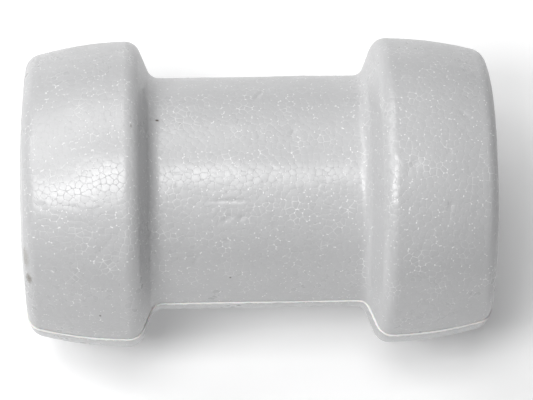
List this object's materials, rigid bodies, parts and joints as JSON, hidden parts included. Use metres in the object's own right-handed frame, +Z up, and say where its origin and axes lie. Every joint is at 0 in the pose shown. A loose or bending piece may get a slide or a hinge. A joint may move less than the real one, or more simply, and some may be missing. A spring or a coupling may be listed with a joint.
{
  "type": "foam roller",
  "caption": "Spool-shaped massage roller in white bead foam, with a slim waist between wide tapered lobes and a raised glue line along its sides.",
  "frame": {"origin": "on the ground, under the middle of the roller", "axes": "+X along the roller, +Z up, and +Y across it; the glued joint between the halves is level"},
  "size_m": [0.23, 0.151, 0.15],
  "materials": {
    "foam": "matte",
    "glue": "satin",
    "dense_foam": "matte"
  },
  "bodies": {
    "root": {"upper_half": "foam", "lower_half": "foam", "adhesive_layer": "glue", "dowel_left_front": "dense_foam", "dowel_left_back": "dense_foam", "dowel_right_front": "dense_foam", "dowel_right_back": "dense_foam", "dowel_waist_front": "dense_foam", "dowel_waist_back": "dense_foam"}
  },
  "joints": []
}
